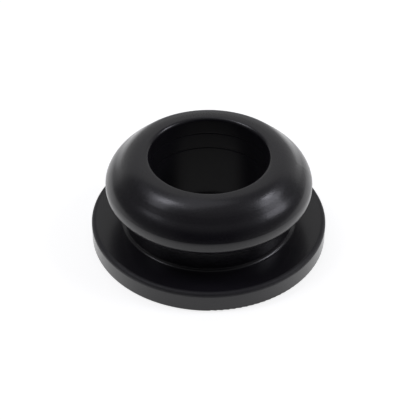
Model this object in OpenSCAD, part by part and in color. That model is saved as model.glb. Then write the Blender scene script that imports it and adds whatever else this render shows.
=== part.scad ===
// Rubber seal that closes a panel hole round the body of a control switch.
// It is moulded in one piece: a flat flange, a neck that forms the panel groove,
// and a snap bead that is pushed through the hole. A plain bore grips the switch.
// Units are millimetres. The origin is the centre of the flange's underside,
// and the bore runs up along +Z to the top of the bead.

/* [Flange] */
// Outer diameter of the flange
flange_d = 30; // [28:0.5:36]
// Thickness of the flange
flange_t = 2.75; // [2:0.05:4]
// Radius on the upper edge of the flange
flange_edge_r = 0.5; // [0.2:0.1:1]
// Radius on the lower edge of the flange
flange_foot_r = 0.2; // [0.1:0.05:0.4]

/* [Panel groove] */
// Diameter of the neck that the panel hole closes on
neck_d = 21.5; // [20:0.5:23]
// Height of the groove between the flange and the bead
groove_h = 4.05; // [3:0.05:6]
// Radius of the inner corner between the neck and the flange
neck_foot_r = 0.5; // [0.2:0.1:1]
// Radius of the inner corner between the neck and the bead
neck_head_r = 0.5; // [0.2:0.1:0.8]

/* [Snap bead] */
// Diameter of the bead at its widest ring
bead_d = 26; // [25.6:0.1:27]
// Height of the bead from the groove to the top land
bead_h = 5.7; // [5.4:0.05:5.9]
// Radius of the heel between the bead's underside and its widest ring
heel_r = 1.3; // [1.1:0.05:1.6]
// Height of the straight wall at the widest ring
wall_h = 0.25; // [0.1:0.05:0.5]
// Radius of the rounded rim above the wall
rim_r = 1.75; // [1.6:0.05:2]
// Radius of the fuller cheek between the rim and the crest
cheek_r = 3.7; // [3.4:0.1:4.2]
// Angle above the widest ring at which the cheek runs into the rim, in degrees
cheek_turn = 20; // [17:1:24]
// Angle between the straight lead-in slope and the bore, in degrees
slope_turn = 45.5; // [44:0.5:47]
// Turn of the shallow hollow between the slope and the crest of the cheek, in degrees
hollow_turn = 4; // [1:0.5:6]
// Radius of the shallow hollow
hollow_r = 7; // [4:0.5:10]
// Radius of the shoulder between the lead-in slope and the top land
shoulder_r = 3.9; // [3.4:0.1:4.2]

/* [Bore] */
// Diameter of the bore that grips the switch body
bore_d = 15; // [14:0.1:15.4]
// Radius on the upper lip of the bore
lip_r = 0.45; // [0.2:0.05:0.6]
// Radius on the lower lip of the bore
bore_foot_r = 0.3; // [0.1:0.1:0.6]
// Number of fine sealing rings cut into the bore wall below its upper lip
ring_count = 2; // [0:1:3]
// Distance from the top land to the first ring, and from ring to ring
ring_pitch = 2.3; // [1.5:0.1:2.5]
// Radius of the shallow round groove that makes each ring
ring_r = 0.4; // [0.2:0.05:0.6]
// Depth of each ring groove in the bore wall
ring_depth = 0.04; // [0.02:0.01:0.1]

/* [Hidden] */
$fn = 96;

// Overlap by which neighbouring curves of the bead run into each other
overlap = 0.0003;

flange_r = flange_d / 2;
neck_r = neck_d / 2;
bead_r = bead_d / 2;
bore_r = bore_d / 2;

// Heights of the bead's underside and of the top land
bead_z = flange_t + groove_h;
top_z = bead_z + bead_h;

// Centres of the arcs that make the bead's section, from the heel up to the top land
// The land takes the width that is left between the bore and the shoulder
heel_c = [bead_r - heel_r, bead_z + heel_r];
rim_c = [bead_r - rim_r, heel_c.y + wall_h];
cheek_way = [cos(cheek_turn), sin(cheek_turn)];
cheek_c = rim_c - (cheek_r - rim_r) * cheek_way;
crest_turn = slope_turn + hollow_turn;
crest_way = [cos(crest_turn), sin(crest_turn)];
hollow_c = cheek_c + (cheek_r + hollow_r - overlap) * crest_way;
slope_way = [cos(slope_turn), sin(slope_turn)];
slope_reach = hollow_c * slope_way - hollow_r + overlap;
shoulder_z = top_z - shoulder_r;
shoulder_reach = slope_reach - shoulder_r + overlap;
shoulder_c = [(shoulder_reach - shoulder_z * slope_way.y) / slope_way.x, shoulder_z];

// Centre of the corner arc that touches the neck and the bead's heel
head_c = [
    neck_r + neck_head_r,
    heel_c.y - sqrt((heel_r + neck_head_r) ^ 2 - max(0, neck_r + neck_head_r - heel_c.x) ^ 2)
];

// Square corner between two straight edges, less the arc that rounds it
// It starts at the corner and reaches in along sx and sy
module corner(r, sx, sy) {
    difference() {
        scale([sx, sy])
            square(r);
        translate([sx * r, sy * r])
            circle(r);
    }
}

// Flange with its outer edges rounded
module flange_section() {
    difference() {
        translate([bore_r, 0])
            square([flange_r - bore_r, flange_t]);
        translate([flange_r, flange_t])
            corner(flange_edge_r, -1, -1);
        translate([flange_r, 0])
            corner(flange_foot_r, -1, 1);
    }
}

// Neck with the arcs that fill its two inner corners
module neck_section() {
    translate([bore_r, flange_t])
        square([neck_r - bore_r, heel_c.y - flange_t]);
    translate([neck_r, flange_t])
        corner(neck_foot_r, 1, 1);
    difference() {
        polygon([
            [neck_r, head_c.y],
            head_c,
            [min(heel_c.x, head_c.x), heel_c.y],
            [neck_r, heel_c.y]
        ]);
        translate(head_c)
            circle(neck_head_r);
    }
}

// Bead with a round heel, a low straight wall, a rounded rim, a full cheek, a shallow hollow,
// a straight lead-in slope, a round shoulder and a flat land, each running smoothly into the next
module bead_section() {
    polygon([
        [bore_r, bead_z],
        [heel_c.x, bead_z],
        heel_c,
        [bead_r, heel_c.y],
        [bead_r, rim_c.y],
        rim_c,
        cheek_c,
        cheek_c + (slope_reach - cheek_c * slope_way) * slope_way,
        shoulder_c + (slope_reach - shoulder_c * slope_way) * slope_way,
        shoulder_c,
        [shoulder_c.x, top_z],
        [bore_r, top_z]
    ]);
    translate(heel_c)
        intersection() {
            circle(heel_r);
            translate([0, -heel_r])
                square(heel_r);
        }
    translate(rim_c)
        intersection() {
            circle(rim_r);
            square(rim_r);
        }
    translate(cheek_c)
        intersection() {
            circle(cheek_r);
            polygon([[0, 0], 2 * cheek_r * cheek_way, [0, 2 * cheek_r]]);
        }
    difference() {
        polygon([cheek_c, hollow_c, hollow_c - (hollow_r + cheek_r) * slope_way]);
        translate(hollow_c)
            circle(hollow_r);
    }
    translate(shoulder_c)
        intersection() {
            circle(shoulder_r);
            square(shoulder_r);
        }
}

// Open bore with rounded lips and ring grooves, taken out of the rest
module bore_section() {
    square([bore_r, top_z]);
    translate([bore_r, top_z])
        corner(lip_r, 1, -1);
    translate([bore_r, 0])
        corner(bore_foot_r, 1, 1);
    for (i = [1 : ring_count])
        translate([bore_r + ring_depth - ring_r, top_z - i * ring_pitch])
            circle(ring_r);
}

module switch_seal() {
    color([0.07, 0.07, 0.08])
        rotate_extrude()
            difference() {
                union() {
                    flange_section();
                    neck_section();
                    bead_section();
                }
                bore_section();
            }
}

switch_seal();
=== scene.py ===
import math

import bpy
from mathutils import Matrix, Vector

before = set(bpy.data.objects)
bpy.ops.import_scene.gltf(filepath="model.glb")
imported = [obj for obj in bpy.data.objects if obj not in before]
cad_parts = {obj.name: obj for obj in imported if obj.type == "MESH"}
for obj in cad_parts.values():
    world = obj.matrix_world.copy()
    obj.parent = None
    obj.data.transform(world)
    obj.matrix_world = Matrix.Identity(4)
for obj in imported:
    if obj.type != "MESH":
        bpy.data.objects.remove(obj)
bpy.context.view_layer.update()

MM = 0.001
WHITE = (1.0, 1.0, 1.0, 1.0)

# Camera: height of the point it looks at, distance, and elevation and roll in degrees
AIM_Z = 3.63 * MM
CAMERA_DISTANCE = 172.1 * MM
CAMERA_ELEVATION = 39.85
CAMERA_ROLL = 0.4
CLIP_START = 5.0 * MM
# Its picture: width, focal length and the place of that point, in pixels
IMAGE_PX = 420
FOCAL_PX = 1344.0
CENTRE_PX = (208.2, 208.7)
SENSOR_MM = 36.0

# Rubber: darkest and lightest tone, and the cloudy noise that changes between them
RUBBER_IOR = 1.5
DARK_TONE = (0.0078, 0.0070, 0.0100, 1.0)
LIGHT_TONE = (0.0114, 0.0104, 0.0140, 1.0)
CLOUD = {"Scale": 260.0, "Detail": 4.0, "Roughness": 0.6}
# Fine grain: its noise, the band of it that counts, the roughness at the band's ends, and its bump
GRAIN = {"Scale": 28000.0, "Detail": 2.0}
GRAIN_BAND = (0.42, 0.58)
ROUGHNESS = (0.18, 0.35)
BUMP = {"Strength": 0.05, "Distance": 0.003 * MM}
# Upper edge of the flange, which is more matt: where it starts, and the added roughness
EDGE_RADIUS = (14.3 * MM, 14.6 * MM)
EDGE_HEIGHT = (2.1 * MM, 2.35 * MM)
EDGE_MATT = 0.35
# Wall of the bore, which is a little more matt: where it ends, and the added roughness
BORE_RADIUS = (7.5 * MM, 7.6 * MM)
BORE_MATT = 0.1

# Floor: a disc just below the part, with an opening under the bore
FLOOR_RADIUS = 1.5
FLOOR_SIDES = 96
FLOOR_DROP = 0.02 * MM
OPENING_RADIUS = 6.9 * MM
FLOOR_COLOUR = (0.5, 0.5, 0.5, 1.0)
FLOOR_ROUGHNESS = 0.9
# Radius, under the flange's edge, outside which the floor glows
FOOT_EDGE = (14.2 * MM, 14.8 * MM)
# Glow towards the camera close to the part, and the radii over which it grows to plain white
CAMERA_GLOW = 0.78
WHITE_REACH = (60.0 * MM, 350.0 * MM)
# Glow in reflections, from the front to the back, close to the part and far from it
# The way runs from -1 straight in front of the part to 1 straight behind it
NEAR_WAY, NEAR_GLOW = (-1.0, -0.6), (0.75, 1.0)
FAR_WAY, FAR_GLOW = (-1.0, 0.9), (0.1, 1.0)
# Radii over which the close glow gives way to the far one, and the way over which both fade out
GLOW_REACH = (40.0 * MM, 68.0 * MM)
BEHIND = (0.9, 0.99)

# Softboxes as the part sees them: azimuth, elevation, turn, width and height, all in degrees,
# and radiance
LAMP_DISTANCE = 0.5
LAMP_COLOUR = (0.98, 0.98, 1.08)
LAMPS = {
    "left_top_lamp": (-128.0, 76.8, 76.8, 28.6, 40.0, 0.56),
    "left_lamp": (-86.0, 54.0, 39.9, 17.0, 30.0, 1.75),
    "left_core_lamp": (-94.5, 63.0, 32.7, 10.0, 16.5, 4.4),
    "right_top_lamp": (99.8, 48.8, -10.2, 11.0, 8.5, 8.6),
    "right_lamp": (88.6, 38.2, -39.9, 22.3, 16.4, 3.4),
}
# Ramps of the studio's own light: axis, its start and end, and the strength at each
WORLD_RAMPS = (
    ("Y", 0.45, 0.62, 0.0, 0.54),
    ("Z", 0.5, 1.0, 0.0, 0.25),
    ("X", -0.9, -0.3, 0.146, 0.0),
    ("X", 0.3, 0.9, 0.0, 0.161),
)
# Light that comes up through the bore from the front: strength, and where it ends along Y
# At the horizon it gives way to the studio's light
BELOW_LIGHT = 0.195
BELOW_EDGE = (-0.5, -0.22)
HORIZON = (-0.1, 0.0)


def direction(azimuth, elevation):
    """Unit vector; azimuth 0 is the camera's side and 90 is its right."""
    a, e = math.radians(azimuth), math.radians(elevation)
    return Vector((math.sin(a) * math.cos(e), -math.cos(a) * math.cos(e), math.sin(e)))


def place_facing(made, way, distance, roll):
    """Puts a lamp or camera out along a direction, turned to look back, and rolls it."""
    made.location = way * distance
    made.rotation_euler = way.to_track_quat("Z", "Y").to_euler()
    made.rotation_euler.rotate_axis("Z", math.radians(roll))
    bpy.context.scene.collection.objects.link(made)


def feed(tree, socket, value):
    """Sets an input socket to a plain value, or links another node's output to it."""
    if isinstance(value, bpy.types.NodeSocket):
        tree.links.new(value, socket)
    else:
        socket.default_value = value


def node(tree, kind, inputs):
    """New node with its inputs fed by name."""
    made = tree.nodes.new(kind)
    for name, value in inputs.items():
        feed(tree, made.inputs[name], value)
    return made


def math_node(tree, operation, a, b):
    """Sum, product or the like of two sockets or numbers."""
    made = tree.nodes.new("ShaderNodeMath")
    made.operation = operation
    feed(tree, made.inputs[0], a)
    feed(tree, made.inputs[1], b)
    return made.outputs[0]


def product(tree, first, *others):
    for other in others:
        first = math_node(tree, "MULTIPLY", first, other)
    return first


def mix(tree, factor, a, b):
    """Value that goes from a, where the factor is 0, to b, where it is 1."""
    return node(tree, "ShaderNodeMix", {"Factor": factor, "A": a, "B": b}).outputs["Result"]


def ramp(tree, value, low, high, to_low, to_high):
    """Smooth step from to_low at low to to_high at high."""
    made = node(tree, "ShaderNodeMapRange", {
        "Value": value, "From Min": low, "From Max": high, "To Min": to_low, "To Max": to_high})
    made.interpolation_type = "SMOOTHSTEP"
    return made.outputs[0]


def length(tree, vector):
    made = tree.nodes.new("ShaderNodeVectorMath")
    made.operation = "LENGTH"
    feed(tree, made.inputs[0], vector)
    return made.outputs["Value"]


def coordinates(tree, kind):
    """A kind of texture coordinates, as one vector and split into X, Y and Z."""
    vector = tree.nodes.new("ShaderNodeTexCoord").outputs[kind]
    return vector, node(tree, "ShaderNodeSeparateXYZ", {"Vector": vector}).outputs


def new_material(name):
    material = bpy.data.materials.new(name)
    material.use_nodes = True
    return material, material.node_tree, material.node_tree.nodes["Principled BSDF"].inputs


def rubber():
    """Black moulded rubber with a satin gloss, a cloudy tone and a fine grain."""
    material, tree, surface = new_material("rubber")
    surface["IOR"].default_value = RUBBER_IOR
    place, axes = coordinates(tree, "Object")

    cloud = node(tree, "ShaderNodeTexNoise", {"Vector": place, **CLOUD}).outputs["Fac"]
    tone = node(tree, "ShaderNodeValToRGB", {"Fac": cloud})
    tone.color_ramp.elements[0].color = DARK_TONE
    tone.color_ramp.elements[1].color = LIGHT_TONE
    feed(tree, surface["Base Color"], tone.outputs["Color"])

    grain = node(tree, "ShaderNodeTexNoise", {"Vector": place, **GRAIN}).outputs["Fac"]
    bump = node(tree, "ShaderNodeBump", {"Height": grain, **BUMP})
    feed(tree, surface["Normal"], bump.outputs["Normal"])

    flat = node(tree, "ShaderNodeCombineXYZ", {"X": axes["X"], "Y": axes["Y"]})
    radius = length(tree, flat.outputs["Vector"])
    edge = product(tree, ramp(tree, radius, *EDGE_RADIUS, 0.0, EDGE_MATT),
                   ramp(tree, axes["Z"], *EDGE_HEIGHT, 0.0, 1.0))
    bore = ramp(tree, radius, *BORE_RADIUS, BORE_MATT, 0.0)
    matt = math_node(tree, "ADD", edge, bore)
    gloss = ramp(tree, grain, *GRAIN_BAND, *ROUGHNESS)
    feed(tree, surface["Roughness"], math_node(tree, "ADD", gloss, matt))
    return material


def floor_material():
    """Pale floor that glows, up to plain white, towards the camera and in reflections."""
    material, tree, surface = new_material("floor")
    surface["Base Color"].default_value = FLOOR_COLOUR
    surface["Roughness"].default_value = FLOOR_ROUGHNESS
    surface["Specular IOR Level"].default_value = 0.0
    surface["Emission Color"].default_value = WHITE
    place, axes = coordinates(tree, "Object")
    reach = length(tree, place)
    way = math_node(tree, "DIVIDE", axes["Y"], reach)

    rays = tree.nodes.new("ShaderNodeLightPath").outputs
    pale = ramp(tree, reach, *WHITE_REACH, CAMERA_GLOW, 1.0)
    direct = product(tree, rays["Is Camera Ray"], pale)
    near = ramp(tree, way, *NEAR_WAY, *NEAR_GLOW)
    far = ramp(tree, way, *FAR_WAY, *FAR_GLOW)
    around = mix(tree, ramp(tree, reach, *GLOW_REACH, 0.0, 1.0), near, far)
    reflected = math_node(tree, "MAXIMUM", rays["Is Glossy Ray"], rays["Is Transmission Ray"])
    mirror = product(tree, reflected, around, ramp(tree, way, *BEHIND, 1.0, 0.0))
    seen = math_node(tree, "MAXIMUM", direct, mirror)
    outside = ramp(tree, reach, *FOOT_EDGE, 0.0, 1.0)
    feed(tree, surface["Emission Strength"], product(tree, seen, outside))
    return material


def make_floor():
    """Round floor with an opening, so that light also comes up through the bore."""
    points, faces = [], []
    for radius in (OPENING_RADIUS, FLOOR_RADIUS):
        for i in range(FLOOR_SIDES):
            turn = 2 * math.pi * i / FLOOR_SIDES
            points.append((radius * math.sin(turn), radius * math.cos(turn), 0))
    for i in range(FLOOR_SIDES):
        j = (i + 1) % FLOOR_SIDES
        faces.append((i, j, FLOOR_SIDES + j, FLOOR_SIDES + i))
    mesh = bpy.data.meshes.new("floor")
    mesh.from_pydata(points, [], faces)
    mesh.materials.append(floor_material())
    floor = bpy.data.objects.new("floor", mesh)
    floor.location.z = -FLOOR_DROP
    bpy.context.scene.collection.objects.link(floor)


def make_world():
    """Studio round the part: pale behind and above, dim in front. The camera sees plain white."""
    world = bpy.data.worlds.new("studio")
    bpy.context.scene.world = world
    world.use_nodes = True
    tree = world.node_tree
    background = tree.nodes["Background"].inputs
    background["Color"].default_value = WHITE
    axes = coordinates(tree, "Generated")[1]
    light = 0.0
    for axis, *values in WORLD_RAMPS:
        light = math_node(tree, "ADD", light, ramp(tree, axes[axis], *values))
    below = ramp(tree, axes["Y"], *BELOW_EDGE, BELOW_LIGHT, 0.0)
    studio = mix(tree, ramp(tree, axes["Z"], *HORIZON, 0.0, 1.0), below, light)
    rays = tree.nodes.new("ShaderNodeLightPath").outputs
    feed(tree, background["Strength"], mix(tree, rays["Is Camera Ray"], studio, 1.0))


def softbox(name, azimuth, elevation, turn, width, height, radiance):
    """Rectangular lamp that faces the part. Its width and height are angles seen from the part."""
    lamp = bpy.data.lights.new(name, "AREA")
    lamp.shape = "RECTANGLE"
    lamp.size = 2 * LAMP_DISTANCE * math.tan(math.radians(width / 2))
    lamp.size_y = 2 * LAMP_DISTANCE * math.tan(math.radians(height / 2))
    lamp.energy = radiance * math.pi * lamp.size * lamp.size_y
    lamp.color = LAMP_COLOUR
    way = direction(azimuth, elevation)
    place_facing(bpy.data.objects.new(name, lamp), way, LAMP_DISTANCE, turn)


def make_camera():
    camera = bpy.data.cameras.new("camera")
    camera.sensor_width = SENSOR_MM
    camera.lens = FOCAL_PX / IMAGE_PX * SENSOR_MM
    camera.clip_start = CLIP_START
    middle = (IMAGE_PX - 1) / 2
    camera.shift_x = (middle - CENTRE_PX[0]) / IMAGE_PX
    camera.shift_y = (CENTRE_PX[1] - middle) / IMAGE_PX
    made = bpy.data.objects.new("camera", camera)
    place_facing(made, direction(0, CAMERA_ELEVATION), CAMERA_DISTANCE, CAMERA_ROLL)
    made.location.z += AIM_Z
    bpy.context.scene.camera = made


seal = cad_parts["switch_seal"]
seal.data.materials.clear()
seal.data.materials.append(rubber())
make_floor()
make_world()
for lamp_name, values in LAMPS.items():
    softbox(lamp_name, *values)
make_camera()
bpy.context.scene.view_settings.view_transform = "Standard"
